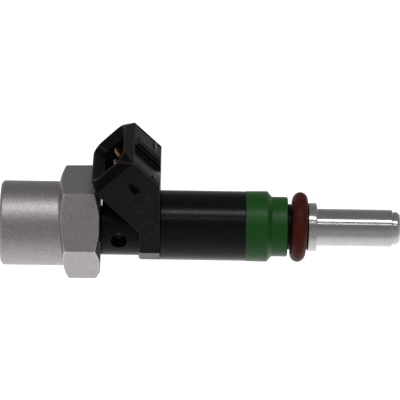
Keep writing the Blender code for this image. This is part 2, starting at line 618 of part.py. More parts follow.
# ---------------------------------------------------------------- connector moulding
def build_connector():
    # collar: its section across the axis, flat cheeks above and a round underside
    sect = [(COLLAR_HALF_Y - 0.01, 12.0), (COLLAR_HALF_Y - 0.01, COLLAR_FLAT_Z)]
    a0 = math.degrees(math.atan2(COLLAR_TAN_Z, COLLAR_TAN_Y))
    for i in range(13):
        t = math.radians(a0 + (-180 - 2 * a0) * i / 12)
        sect.append((COLLAR_R * math.cos(t), COLLAR_R * math.sin(t)))
    sect += [(-COLLAR_HALF_Y + 0.01, COLLAR_FLAT_Z), (-COLLAR_HALF_Y + 0.01, 12.0)]
    block = loft("connector_overmould", [[(x, y * s, z * s if z < 0 else z) for y, z in sect]
                                         for x, s in ((X_COLLAR, 0.94), (X_COLLAR + 0.55, 1.0), (X_BODY + 2.0, 1.0))])
    # the collar's top is trimmed to the connector's lower face line
    low = conn(0, 0, -CONN_HALF_B)
    far = conn(-CONN_BACK, 0, -CONN_HALF_B)
    trim = prism_y("trim", [(low[0] - 3.0, low[2] + 3.0 + 0.02), (far[0] + 3.0, far[2] - 3.0 + 0.02),
                            (far[0] + 3.0, 30.0), (low[0] - 3.0, 30.0)], -12.0, 12.0)
    block = combine(block, trim, "DIFFERENCE")
    shell = conn_prism("shell", [
        (-CONN_BACK, CONN_HALF_Y, CONN_HALF_B, 0.25), ((CREASE_SIDE, CREASE_TOP), CONN_HALF_Y, CONN_HALF_B, 0.25),
        (RIM_FWD, RIM_HALF_Y, RIM_HALF_B, RIM_CORNER)])
    # features on the upper face
    rib = loft("rib", [
        [conn(RIB_A0, RIB_Y0, CONN_HALF_B - 0.5), conn(RIB_A0, RIB_Y1, CONN_HALF_B - 0.5),
         conn(RIB_A0 - 0.75, RIB_Y1 - 0.3, CONN_HALF_B + RIB_H), conn(RIB_A0 - 0.75, RIB_Y0 + 0.3, CONN_HALF_B + RIB_H)],
        [conn(1.0 - CONN_BACK, RIB_Y0, CONN_HALF_B - 0.5), conn(1.0 - CONN_BACK, RIB_Y1, CONN_HALF_B - 0.5),
         conn(1.0 - CONN_BACK, RIB_Y1 - 0.3, CONN_HALF_B + RIB_H), conn(1.0 - CONN_BACK, RIB_Y0 + 0.3, CONN_HALF_B + RIB_H)]])
    shell = combine(shell, rib, "UNION")
    for yc in (-5.9, 6.3):
        bar = prism_y("bar", [(q[0], q[2]) for q in (
            conn(-6.05, 0, CONN_HALF_B - 0.4), conn(-6.05, 0, CONN_HALF_B), conn(-6.15, 0, CONN_HALF_B + BAR_H),
            conn(-6.15 - BAR_W, 0, CONN_HALF_B + 0.05), conn(-6.15 - BAR_W, 0, CONN_HALF_B - 0.4))],
            yc - BAR_LEN / 2, yc + BAR_LEN / 2)
        shell = combine(shell, bar, "UNION")
    # deep beside the rib, then rising in a shallow hollow towards the near edge
    slot_pts = [(SLOT_Y0, 0.6), (SLOT_Y0, 0.01), (-4.9, -0.14), (-3.4, -0.34), (-2.0, -0.56), (-1.0, -0.80),
                (-0.5, -SLOT_DEPTH), (SLOT_Y1 - 0.15, -SLOT_DEPTH), (SLOT_Y1, -SLOT_DEPTH + 0.15), (SLOT_Y1, 0.6)]
    slot = loft("slot", [[conn(a, y, CONN_HALF_B + t) for y, t in slot_pts] for a in (SLOT_A0, -CONN_BACK - 1)])
    shell = combine(shell, slot, "DIFFERENCE")
    # snap barbs on both cheeks, each with a scalloped relief beside it
    for s in (-1, 1):
        y0, y1 = s * (CONN_HALF_Y - 0.5), s * (CONN_HALF_Y + BARB_H)
        barb = loft("barb", [[conn(BARB_A0 + 0.4, y0, b), conn(BARB_A0, s * (CONN_HALF_Y + 0.03), b),
                              conn(BARB_A0 - BARB_RAMP, y1, b), conn(BARB_A0 - BARB_RAMP - BARB_TOP, y1, b),
                              conn(BARB_A0 - BARB_RAMP - BARB_TOP - 0.25, y0, b)] for b in (BARB_B0, BARB_B1)])
        shell = combine(shell, barb, "UNION")
        scoop = []
        for t, r in ((-0.9, 0.35), (0.0, 1.0), (0.6, 1.1)):
            scoop.append([conn(BARB_A0 - 1.7 + 1.55 * r * math.cos(2 * math.pi * k / 16),
                               s * (CONN_HALF_Y + t), BARB_B1 + 0.70 + 0.62 * r * math.sin(2 * math.pi * k / 16))
                          for k in range(16)])
        shell = combine(shell, loft("scoop", scoop), "DIFFERENCE")
    block = combine(block, shell, "UNION")
    # everything past the body joint is cut away
    block = combine(block, box("past", X_BODY - 0.02, 70.0, -15.0, 15.0, -12.0, 40.0), "DIFFERENCE")
    rear = revolve("rear", [(X_REAR, 0.0), (X_REAR, REAR_R - 0.2), (X_REAR + 0.2, REAR_R),
                            (X_COLLAR + 1.2, REAR_R), (X_COLLAR + 1.2, 0.0)], OUT_SEGS)
    block = combine(block, rear, "UNION")
    socket = conn_prism("socket", [
        (SOCKET_FLOOR, SOCKET_HALF_Y, SOCKET_HALF_B, SOCKET_CORNER),
        (RIM_FWD - 0.25, SOCKET_HALF_Y, SOCKET_HALF_B, SOCKET_CORNER),
        (RIM_FWD + 0.30, SOCKET_HALF_Y + 0.22, SOCKET_HALF_B + 0.22, SOCKET_CORNER + 0.2)])
    block = combine(block, socket, "DIFFERENCE")
    bore = revolve("bore", [(X_REAR - 1, 0.0), (X_REAR - 1, OVERMOULD_BORE_R), (X_BODY + 1, OVERMOULD_BORE_R),
                            (X_BODY + 1, 0.0)], OUT_SEGS)
    block = combine(block, bore, "DIFFERENCE")
    block = combine(block, cylinder_y("vent", X_VENT, VENT_Z, VENT_R, -9.0, 0.0), "DIFFERENCE")
    for side in (-1, 1):
        yc = side * BLADE_PITCH / 2
        w = BLADE_W / 2 + BLADE_GAP
        block = combine(block, prism_y("t", terminal_outline(BLADE_GAP), yc - w, yc + w), "DIFFERENCE")
        right = conn(BLADE_BEND, 0, BLADE_B + BLADE_T / 2)[0] + 0.05
        ya, yb = sorted((side * (TAIL_Y0 - BLADE_GAP), side * (TAIL_Y1 + BLADE_GAP)))
        block = combine(block, box("t", right - 0.4, X_BODY + 1, ya, yb, TAIL_Z - TAIL_T / 2 - BLADE_GAP + 0.01,
                                   TAIL_Z + TAIL_T / 2 + BLADE_GAP), "DIFFERENCE")
    block.name = "connector_overmould"
    one_material(block, material("black_nylon", BLACK, 0.0, 0.45))
    smooth(block)
    return block


build_connector()

# ---------------------------------------------------------------- body and sleeve
ob = revolve("body_overmould", [
    (X_BODY + 0.02, BODY_BORE_R), (X_BODY + 0.02, BODY_R - 0.12), (X_BODY + 0.14, BODY_R), (X_BODY_END - 0.04, BODY_R),
    (X_BODY_END - 0.04, BODY_BORE_R)], OUT_SEGS, material("black_body", BLACK, 0.0, 0.4))
smooth(ob)

ob = revolve("green_sleeve", [
    (X_BODY_END, SHELL_OUT_R + 0.06), (X_BODY_END, BODY_R), (X_BODY_END + 0.1, BODY_R + 0.04),
    (X_SLEEVE_STEP - 0.25, BODY_R + 0.05), (X_SLEEVE_STEP, BODY_R - 0.05), (X_SLEEVE_NECK, SLEEVE_NECK_R),
    (X_SLEEVE_END - 0.35, SLEEVE_NECK_R), (X_SLEEVE_END - 0.1, SLEEVE_NECK_R - 0.12),
    (X_SLEEVE_END, SLEEVE_NECK_R - 0.35), (X_SLEEVE_END, SHELL_OUT_R + 0.06)], OUT_SEGS,
    material("green_nylon", (0.010, 0.047, 0.012), 0.0, 0.45))
smooth(ob)

ob = revolve("o_ring_carrier", [
    (X_CARRIER, CARRIER_IN_R), (X_CARRIER, CARRIER_FL_R), (62.15, CARRIER_FL_R), (62.15, CARRIER_GROOVE_R),
    (65.66, CARRIER_GROOVE_R), (65.66, CARRIER_FL_R), (X_CARRIER_END, CARRIER_FL_R),
    (X_CARRIER_END, CARRIER_IN_R)], IN_SEGS, material("black_spool", BLACK, 0.0, 0.4))
smooth(ob)

ob = revolve("nozzle_o_ring", arc(X_O_RING, O_RING_MEAN_R, O_RING_R, 0, 330, 11), 36,
             material("brown_seal", (0.045, 0.010, 0.007), 0.0, 0.5))
smooth(ob, 60)

ob = revolve("nozzle_collar", [
    (X_STEEL_COLLAR, NOZZLE_R + 0.03), (X_STEEL_COLLAR, STEEL_COLLAR_R - 0.2),
    (X_STEEL_COLLAR + 0.2, STEEL_COLLAR_R), (X_STEEL_COLLAR_END - 0.25, STEEL_COLLAR_R),
    (X_STEEL_COLLAR_END, STEEL_COLLAR_R - 0.25), (X_STEEL_COLLAR_END, NOZZLE_R + 0.03)], OUT_SEGS,
    material("collar_steel", STEEL, 1.0, 0.32))
smooth(ob)

ob = revolve("nozzle_tube", [
    (X_NOZZLE_INNER, NOZZLE_BORE_R), (X_NOZZLE_INNER, SHELL_IN_R - 0.05), (X_SHELL_END + 0.1, SHELL_IN_R - 0.05),
    (X_SHELL_END + 0.2, NOZZLE_INNER_R), (X_NOZZLE_STEP, NOZZLE_INNER_R), (X_NOZZLE_STEP, NOZZLE_R),
    (X_NOZZLE_END - 0.3, NOZZLE_R), (X_NOZZLE_END, NOZZLE_R - 0.22), (X_NOZZLE_END, SEAT_R + 0.03),
    (X_SEAT - 0.06, SEAT_R + 0.03), (X_SEAT - 0.06, NOZZLE_BORE_R)], OUT_SEGS,
    material("nozzle_steel", STEEL, 1.0, 0.28))
smooth(ob)

cone = X_BALL + BALL_R * math.sqrt(0.5) + 0.035
cone_r = BALL_R * math.sqrt(0.5)
ob = revolve("valve_seat", [
    (X_SEAT, BALL_R + 0.05), (X_SEAT, SEAT_R), (X_TIP - 0.55, SEAT_R), (X_TIP - 0.22, SEAT_R - 0.13),
    (X_TIP - 0.06, SEAT_R - 0.34), (X_TIP, SEAT_R - 0.6), (X_TIP, PLATE_R + 0.25), (X_TIP - 0.2, PLATE_R + 0.04),
    (X_PLATE - 0.04, PLATE_R + 0.04), (X_PLATE - 0.04, 0.85), (cone + cone_r - 0.85, 0.85),
    (cone - (BALL_R + 0.05 - cone_r), BALL_R + 0.05)], IN_SEGS,
    material("seat_steel", (0.6, 0.6, 0.6), 1.0, 0.25))
smooth(ob)


def build_plate():
    ob = revolve("orifice_plate", [(X_PLATE, 0.0), (X_PLATE, PLATE_R), (X_PLATE + PLATE_T, PLATE_R),
                                   (X_PLATE + PLATE_T, 0.0)], IN_SEGS)
    for k in range(4):
        t = math.radians(45 + 90 * k)
        jet = loft("jet", [[(x, JET_PITCH_R * math.cos(t) + JET_R * c, JET_PITCH_R * math.sin(t) + JET_R * s)
                            for c, s in ring_points(8)] for x in (X_PLATE - 0.3, X_PLATE + PLATE_T + 0.3)])
        ob = combine(ob, jet, "DIFFERENCE")
    one_material(ob, material("plate_steel", (0.55, 0.55, 0.55), 1.0, 0.3))
    smooth(ob)
    return ob


build_plate()
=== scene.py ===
import math
import bpy
import bmesh
from mathutils import Vector, Matrix

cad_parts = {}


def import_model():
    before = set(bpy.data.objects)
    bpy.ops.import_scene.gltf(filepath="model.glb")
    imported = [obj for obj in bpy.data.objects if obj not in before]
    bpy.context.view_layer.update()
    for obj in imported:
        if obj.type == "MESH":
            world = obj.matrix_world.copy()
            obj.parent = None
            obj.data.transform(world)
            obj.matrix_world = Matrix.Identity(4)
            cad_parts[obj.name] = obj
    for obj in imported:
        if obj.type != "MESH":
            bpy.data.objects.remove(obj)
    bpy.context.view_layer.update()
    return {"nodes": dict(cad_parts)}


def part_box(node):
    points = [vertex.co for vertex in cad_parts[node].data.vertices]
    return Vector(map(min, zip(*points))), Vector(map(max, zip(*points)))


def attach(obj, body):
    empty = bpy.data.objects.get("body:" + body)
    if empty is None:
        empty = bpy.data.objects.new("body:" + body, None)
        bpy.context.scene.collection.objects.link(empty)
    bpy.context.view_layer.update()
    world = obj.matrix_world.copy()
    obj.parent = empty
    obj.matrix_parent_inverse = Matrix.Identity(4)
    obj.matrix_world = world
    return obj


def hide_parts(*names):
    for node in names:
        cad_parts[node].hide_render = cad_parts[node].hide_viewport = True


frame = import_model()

MM = 0.001
H = math.sqrt(0.5)
X_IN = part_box("inlet_adapter")[0][0]
_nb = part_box("nozzle_tube")
AXIS_Z = (_nb[0][2] + _nb[1][2]) / 2


def P(x, y, z):
    """Station from the inlet face, y and height over the axis, all in mm, to the frame in metres."""
    return Vector((X_IN + x * MM, y * MM, AXIS_Z + z * MM))


# ------------------------------------------------------------------ camera
ELEV = math.radians(30.0)
ROLL = math.radians(0.9)
DIST = 0.645
PX = 4.65
fwd = Vector((0, math.cos(ELEV), -math.sin(ELEV)))
up0 = Vector((0, math.sin(ELEV), math.cos(ELEV)))
right0 = Vector((1, 0, 0))
right = right0 * math.cos(ROLL) + up0 * math.sin(ROLL)
up = up0 * math.cos(ROLL) - right0 * math.sin(ROLL)
aim = P((200 - 1.86) / PX, 0, 0) + up * (25.4 / PX * MM)
cam_data = bpy.data.cameras.new("cam")
cam = bpy.data.objects.new("cam", cam_data)
bpy.context.scene.collection.objects.link(cam)
cam.matrix_world = Matrix.Translation(aim - fwd * DIST) @ Matrix((
    (right.x, up.x, -fwd.x, 0), (right.y, up.y, -fwd.y, 0), (right.z, up.z, -fwd.z, 0), (0, 0, 0, 1)))
cam_data.sensor_width = 36.0
cam_data.lens = 36.0 * DIST / (400 / PX * MM)
cam_data.clip_start = 0.01
cam_data.clip_end = 20.0
bpy.context.scene.camera = cam
bpy.context.scene.view_settings.view_transform = "Standard"


# centre of the socket's crease line, station and height in mm
CX, CZ = 24.267, 16.337


# ------------------------------------------------------------------ node helpers
class Mat:
    """Small builder for procedural materials; lengths of texture features are in mm."""

    def __init__(self, name):
        self.m = bpy.data.materials.new(name)
        self.m.use_nodes = True
        self.nt = self.m.node_tree
        self.b = self.nt.nodes["Principled BSDF"]
        self.tc = self.nt.nodes.new("ShaderNodeTexCoord")

    def link(self, a, b):
        self.nt.links.new(a, b)

    def coords(self, sx=1.0, sy=1.0, sz=1.0, rot_y=0.0):
        n = self.nt.nodes.new("ShaderNodeMapping")
        n.inputs["Scale"].default_value = (sx, sy, sz)
        n.inputs["Rotation"].default_value = (0.0, rot_y, 0.0)
        self.link(self.tc.outputs["Object"], n.inputs["Vector"])
        return n.outputs["Vector"]

    def noise(self, size_mm, detail=3.0, rough=0.55, vec=None, distortion=0.0):
        n = self.nt.nodes.new("ShaderNodeTexNoise")
        n.inputs["Scale"].default_value = 1000.0 / size_mm
        n.inputs["Detail"].default_value = detail
        n.inputs["Roughness"].default_value = rough
        n.inputs["Distortion"].default_value = distortion
        self.link(vec if vec is not None else self.tc.outputs["Object"], n.inputs["Vector"])
        return n.outputs["Fac"]

    def voronoi(self, size_mm, feature="F1"):
        n = self.nt.nodes.new("ShaderNodeTexVoronoi")
        n.feature = feature
        n.inputs["Scale"].default_value = 1000.0 / size_mm
        self.link(self.tc.outputs["Object"], n.inputs["Vector"])
        return n.outputs["Distance"]

    def ramp(self, fac, lo, hi, a=0.0, b=1.0):
        n = self.nt.nodes.new("ShaderNodeMapRange")
        n.inputs["From Min"].default_value = a
        n.inputs["From Max"].default_value = b
        n.inputs["To Min"].default_value = lo
        n.inputs["To Max"].default_value = hi
        self.link(fac, n.inputs["Value"])
        return n.outputs["Result"]

    def mix(self, fac, c1, c2):
        n = self.nt.nodes.new("ShaderNodeMix")
        n.data_type = "RGBA"
        if isinstance(fac, float):
            n.inputs["Factor"].default_value = fac
        else:
            self.link(fac, n.inputs["Factor"])
        for sock, c in ((n.inputs[6], c1), (n.inputs[7], c2)):
            if isinstance(c, tuple):
                sock.default_value = (c[0], c[1], c[2], 1.0)
            else:
                self.link(c, sock)
        return n.outputs[2]

    def math(self, op, a, b):
        n = self.nt.nodes.new("ShaderNodeMath")
        n.operation = op
        for i, v in enumerate((a, b)):
            if isinstance(v, float):
                n.inputs[i].default_value = v
            else:
                self.link(v, n.inputs[i])
        return n.outputs["Value"]

    def edge(self, lo=0.50, hi=0.58):
        g = self.nt.nodes.new("ShaderNodeNewGeometry")
        return self.ramp(g.outputs["Pointiness"], 0.0, 1.0, lo, hi)

    def corner(self, radius_mm, lo=0.995, hi=0.90):
        """1 within a fraction of a millimetre of a sharp edge, 0 elsewhere."""
        bv = self.nt.nodes.new("ShaderNodeBevel")
        bv.samples = 6
        bv.inputs["Radius"].default_value = radius_mm * MM
        g = self.nt.nodes.new("ShaderNodeNewGeometry")
        d = self.nt.nodes.new("ShaderNodeVectorMath")
        d.operation = "DOT_PRODUCT"
        self.link(bv.outputs["Normal"], d.inputs[0])
        self.link(g.outputs["True Normal"], d.inputs[1])
        return self.ramp(d.outputs["Value"], 1.0, 0.0, hi, lo)

    def bump(self, height, dist_mm, strength=1.0, after=None, bevel_mm=0.0):
        n = self.nt.nodes.new("ShaderNodeBump")
        n.inputs["Strength"].default_value = strength
        n.inputs["Distance"].default_value = dist_mm * MM
        self.link(height, n.inputs["Height"])
        if after is not None:
            self.link(after, n.inputs["Normal"])
        elif bevel_mm:
            bv = self.nt.nodes.new("ShaderNodeBevel")
            bv.samples = 4
            bv.inputs["Radius"].default_value = bevel_mm * MM
            self.link(bv.outputs["Normal"], n.inputs["Normal"])
        return n.outputs["Normal"]

    def set(self, **kw):
        names = {"color": "Base Color", "metallic": "Metallic", "rough": "Roughness", "ior": "IOR",
                 "normal": "Normal", "spec": "Specular IOR Level", "coat": "Coat Weight",
                 "coat_rough": "Coat Roughness", "aniso": "Anisotropic", "sheen": "Sheen Weight"}
        for k, v in kw.items():
            s = self.b.inputs[names[k]]
            if isinstance(v, tuple):
                s.default_value = (v[0], v[1], v[2], 1.0)
            elif isinstance(v, float):
                s.default_value = v
            else:
                self.link(v, s)
        return self


def blasted(name, base, dark, rough):
    m = Mat(name)
    grain = m.noise(0.26, 2.0, 0.65)
    fine = m.noise(0.12, 1.0, 0.5)
    patch = m.noise(1.6, 3.0, 0.6)
    speck = m.noise(0.42, 1.0, 0.5)
    col = m.mix(m.ramp(grain, 0.0, 1.0, 0.36, 0.64), (base[0] * 0.80, base[1] * 0.80, base[2] * 0.81), (base[0] * 1.12, base[1] * 1.12, base[2] * 1.12))
    col = m.mix(m.ramp(patch, 0.0, 0.25, 0.25, 0.75), col, dark)
    col = m.mix(m.ramp(speck, 0.0, 0.45, 0.60, 0.74), col, (base[0] * 1.6, base[1] * 1.6, base[2] * 1.6))
    # lighter convex edges: partly wear, partly painted highlight along the edges
    col = m.mix(m.math("MULTIPLY", m.edge(0.505, 0.56), 0.20), col, (0.56, 0.54, 0.55))
    # painted highlight: a bright line on the hexagon's ridges and other sharp edges
    col = m.mix(m.math("MULTIPLY", m.corner(0.26), 0.85), col, (0.82, 0.80, 0.81))
    # painted shade: the chamfer and end face turned towards the joint end are painted near-black, non-metallic and
    # barely specular
    g = m.nt.nodes.new("ShaderNodeNewGeometry")
    sn = m.nt.nodes.new("ShaderNodeSeparateXYZ")
    m.link(g.outputs["Normal"], sn.inputs[0])
    face = m.ramp(sn.outputs["X"], 0.0, 0.9, 0.45, 0.75)
    col = m.mix(face, col, (0.012, 0.012, 0.013))
    n1 = m.bump(grain, 0.035, 0.75)
    n2 = m.bump(fine, 0.02, 0.5, after=n1)
    m.set(color=col, metallic=m.ramp(face, 1.0, 0.0, 0.0, 0.9), spec=m.ramp(face, 0.5, 0.02, 0.0, 0.9), rough=m.ramp(patch, rough - 0.03, rough + 0.04, 0.3, 0.7), normal=n2)
    return m.m


def plastic(name, base, rough, grain_mm=0.35, grain_depth=0.012, ior=1.3, tint=None, fleck=0.0, bevel=0.0, mouth_shade=None):
    m = Mat(name)
    grain = m.noise(grain_mm, 3.0, 0.6)
    patch = m.noise(4.5, 3.0, 0.6)
    c2 = tint or (base[0] * 1.4, base[1] * 1.4, base[2] * 1.4)
    col = m.mix(m.ramp(patch, 0.0, 1.0, 0.3, 0.7), base, c2)
    if fleck:
        sp = m.noise(0.18, 1.0, 0.5)
        col = m.mix(m.ramp(sp, 0.0, fleck, 0.62, 0.75), col, (0.22, 0.22, 0.22))
    # painted highlight: convex edges are lightened to draw light lines along them
    col = m.mix(m.math("MULTIPLY", m.edge(0.51, 0.60), 0.5), col,
                (base[0] * 2.2 + 0.003, base[1] * 2.2 + 0.003, base[2] * 2.2 + 0.003))
    # painted highlight: with a bevel radius, a thin light line is painted along sharp edges
    if bevel:
        col = m.mix(m.math("MULTIPLY", m.corner(0.13), 0.9), col, (0.060, 0.060, 0.063))
    nrm = m.bump(grain, grain_depth, 0.8, bevel_mm=bevel)
    if mouth_shade:
        # painted shade: the tapered mouth of the socket is painted darker and given a lower IOR than the cheeks
        d = m.nt.nodes.new("ShaderNodeVectorMath")
        d.operation = "DOT_PRODUCT"
        m.link(m.tc.outputs["Object"], d.inputs[0])
        d.inputs[1].default_value = (-H, 0.0, H)
        c0 = H * (AXIS_Z + CZ * MM - X_IN - CX * MM)
        f = m.ramp(d.outputs["Value"], 0.0, 1.0, c0 - 0.38 * MM, c0 - 0.10 * MM)
        keep = m.ramp(m.corner(0.13), 1.0, 0.25)
        col = m.mix(m.math("MULTIPLY", f, keep), col, mouth_shade[0])
        ior = m.ramp(f, ior, mouth_shade[1])
    m.set(color=col, metallic=0.0, rough=m.ramp(grain, rough - 0.05, rough + 0.09, 0.3, 0.7), ior=ior, normal=nrm)
    return m.m


def steel(name, base, rough, lines=True, tint=None, line_depth=0.004):
    """Turned steel: fine rings round the injector's axis."""
    m = Mat(name)
    ring = m.noise(0.16, 2.0, 0.6, vec=m.coords(1.0, 0.012, 0.012))
    patch = m.noise(2.6, 3.0, 0.6)
    grain = m.noise(0.09, 2.0, 0.5)
    t = tint or (base[0] * 0.86, base[1] * 0.85, base[2] * 0.84)
    col = m.mix(m.ramp(patch, 0.0, 1.0, 0.3, 0.7), base, t)
    col = m.mix(m.ramp(ring, 0.0, 0.16, 0.35, 0.75), col, (0.30, 0.29, 0.29))
    # painted highlight: convex edges are lightened
    col = m.mix(m.math("MULTIPLY", m.edge(0.51, 0.58), 0.4), col, (0.80, 0.79, 0.78))
    h = m.math("ADD", m.math("MULTIPLY", ring, 0.8 if lines else 0.2), m.math("MULTIPLY", grain, 0.25))
    nrm = m.bump(h, line_depth, 0.7)
    m.set(color=col, metallic=1.0, rough=m.ramp(patch, rough - 0.04, rough + 0.05, 0.3, 0.7), normal=nrm)
    return m.m


def rubber(name, base, rough, ior=1.36):
    m = Mat(name)
    grain = m.noise(0.25, 3.0, 0.6)
    patch = m.noise(2.0, 3.0, 0.55)
    col = m.mix(m.ramp(patch, 0.0, 1.0, 0.3, 0.7), base, (base[0] * 1.5, base[1] * 1.6, base[2] * 1.6))
    nrm = m.bump(grain, 0.010, 0.7)
    m.set(color=col, metallic=0.0, rough=m.ramp(grain, rough - 0.06, rough + 0.08, 0.3, 0.7), ior=ior, normal=nrm)
    return m.m


def bronze(name):
    m = Mat(name)
    streak = m.noise(0.25, 3.0, 0.6, vec=m.coords(1.0, 0.15, 1.0, rot_y=math.radians(45)))
    patch = m.noise(1.1, 3.0, 0.6)
    col = m.mix(m.ramp(patch, 0.0, 1.0, 0.35, 0.65), (0.20, 0.075, 0.042), (0.36, 0.155, 0.092))
    col = m.mix(m.ramp(streak, 0.0, 0.35, 0.45, 0.75), col, (0.16, 0.07, 0.045))
    # painted highlight: the blade edges are lightened
    col = m.mix(m.math("MULTIPLY", m.edge(0.51, 0.57), 0.6), col, (0.45, 0.26, 0.18))
    nrm = m.bump(streak, 0.008, 0.7)
    m.set(color=col, metallic=1.0, rough=m.ramp(patch, 0.38, 0.52, 0.3, 0.7), normal=nrm)
    return m.m


M_BLAST = blasted("blasted_metal", (0.425, 0.396, 0.412), (0.37, 0.348, 0.36), 0.42)
# black nylon: the mouth colour and IOR paint shade on the socket's taper, the bevel paints edge highlights
M_BLACK = plastic("black_nylon", (0.0034, 0.0038, 0.0038), 0.30, 0.40, 0.008, ior=1.235, bevel=0.10, mouth_shade=((0.0011, 0.0011, 0.0018), 1.19))
M_SIDE = M_BLACK
M_BODY = plastic("black_body_nylon", (0.0012, 0.0013, 0.0013), 0.20, 0.30, 0.016, ior=1.29, fleck=0.10)
M_SPOOL = plastic("black_spool_nylon", (0.0018, 0.0018, 0.0018), 0.34, 0.30, 0.008, ior=1.2)
M_GREEN = plastic("green_nylon", (0.0070, 0.070, 0.0066), 0.34, 0.30, 0.016, ior=1.34, tint=(0.0095, 0.082, 0.0092))
M_RING = rubber("brown_seal", (0.053, 0.0062, 0.0027), 0.46, ior=1.22)
M_SEAL = rubber("black_seal", (0.010, 0.010, 0.010), 0.5)
M_NOZZLE = steel("nozzle_steel", (0.575, 0.556, 0.570), 0.145, line_depth=0.0015)
M_COLLAR = steel("collar_steel", (0.58, 0.565, 0.57), 0.20, line_depth=0.002)
M_TIP = steel("tip_steel", (0.66, 0.65, 0.65), 0.14, line_depth=0.0015)
M_TUBE = steel("inlet_steel", (0.55, 0.54, 0.54), 0.22)
M_MAG = steel("magnetic_steel", (0.45, 0.45, 0.47), 0.30)
# the retaining clip is given a near-black, non-metallic finish
M_CLIP = plastic("clip_near_black", (0.006, 0.006, 0.0065), 0.42, 0.25, 0.008, ior=1.3)
M_PIN = plastic("pin_black", (0.006, 0.006, 0.0065), 0.22, 0.25, 0.004, ior=1.45)
M_TERM = bronze("terminal_bronze")
M_BRASS = steel("filter_brass", (0.62, 0.42, 0.16), 0.28)
M_PTFE = plastic("backup_ptfe", (0.60, 0.59, 0.55), 0.45, 0.4, 0.01, ior=1.36, tint=(0.66, 0.65, 0.60))
M_BOBBIN = plastic("bobbin_nylon", (0.10, 0.09, 0.07), 0.45, 0.4, 0.01, ior=1.45)


def copper_winding():
    m = Mat("winding_copper")
    w = m.nt.nodes.new("ShaderNodeTexWave")
    w.wave_type = "BANDS"
    w.bands_direction = "X"
    w.inputs["Scale"].default_value = 1000.0 / 0.20 / 20.0 * 3.1416
    m.link(m.tc.outputs["Object"], w.inputs["Vector"])
    # painted shade: the grooves between the turns are darker, following the bump's low bands
    col = m.mix(w.outputs["Fac"], (0.22, 0.05, 0.02), (0.62, 0.22, 0.08))
    nrm = m.bump(w.outputs["Fac"], 0.05, 0.9)
    m.set(color=col, metallic=1.0, rough=0.3, normal=nrm)
    return m.m


M_COIL = copper_winding()


# ------------------------------------------------------------------ mesh helpers
def obj(name, verts, faces, mat, smooth_deg=35.0):
    me = bpy.data.meshes.new(name)
    me.from_pydata([P(*v) for v in verts], [], faces)
    bm = bmesh.new()
    bm.from_mesh(me)
    bmesh.ops.recalc_face_normals(bm, faces=bm.faces)
    bm.to_mesh(me)
    bm.free()
    ob = bpy.data.objects.new(name, me)
    bpy.context.scene.collection.objects.link(ob)
    if mat is not None:
        me.materials.append(mat)
    if smooth_deg is not None:
        shade(ob, smooth_deg)
    return ob


def shade(ob, deg):
    for p in ob.data.polygons:
        p.use_smooth = True
    ob.data.set_sharp_from_angle(angle=math.radians(deg))


def weigh(ob):
    w = ob.modifiers.new("wn", "WEIGHTED_NORMAL")
    w.keep_sharp = True
    w.weight = 60
    w.mode = "FACE_AREA"
    return ob


def fillet(pts, closed=True, n=4):
    """Outline of (x, r, radius): corners become arcs of that radius."""
    out = []
    m = len(pts)
    for i, (x, r, rad) in enumerate(pts):
        if rad <= 0 or (not closed and i in (0, m - 1)):
            out.append((x, r))
            continue
        p = Vector((x, r))
        a = Vector(pts[i - 1][:2]) - p
        b = Vector(pts[(i + 1) % m][:2]) - p
        la, lb = a.length, b.length
        a.normalize()
        b.normalize()
        ang = a.angle(b)
        if ang > math.radians(179) or ang < math.radians(3):
            out.append((x, r))
            continue
        t = min(rad / math.tan(ang / 2), la * 0.49, lb * 0.49)
        rr = t * math.tan(ang / 2)
        c = p + (a + b).normalized() * (rr / math.sin(ang / 2))
        s, e = p + a * t - c, p + b * t - c
        a0, a1 = math.atan2(s.y, s.x), math.atan2(e.y, e.x)
        d = a1 - a0
        while d > math.pi:
            d -= 2 * math.pi
        while d < -math.pi:
            d += 2 * math.pi
        for k in range(n + 1):
            t_ = a0 + d * k / n
            out.append((c.x + rr * math.cos(t_), c.y + rr * math.sin(t_)))
    return out


def lathe(name, pts, n, mat, smooth_deg=35.0, filleted=True):
    prof = fillet(pts) if filleted else pts
    return grid(name, [(x, [r] * n) for x, r in prof], n, mat, smooth_deg)


def grid(name, rows, n, mat, smooth_deg=35.0):
    """rows: (station, radii round the axis); the rows form a closed loop unless a radius is zero."""
    verts, idx = [], []
    for x, rr in rows:
        if max(rr) < 1e-5:
            idx.append([len(verts)])
            verts.append((x, 0, 0))
        else:
            idx.append(list(range(len(verts), len(verts) + n)))
            for k in range(n):
                t = 2 * math.pi * k / n
                xx = x[k] if isinstance(x, list) else x
                verts.append((xx, rr[k] * math.cos(t), rr[k] * math.sin(t)))
    faces = []
    for i in range(len(idx)):
        a, b = idx[i], idx[(i + 1) % len(idx)]
        if len(a) == 1 and len(b) == 1:
            continue
        for k in range(n):
            k2 = (k + 1) % n
            if len(a) == 1:
                faces.append((a[0], b[k], b[k2]))
            elif len(b) == 1:
                faces.append((a[k], b[0], a[k2]))
            else:
                faces.append((a[k], b[k], b[k2], a[k2]))
    return obj(name, verts, faces, mat, smooth_deg)


def conn(a, y, b):
    return (CX - H * a + H * b, y, CZ + H * a + H * b)


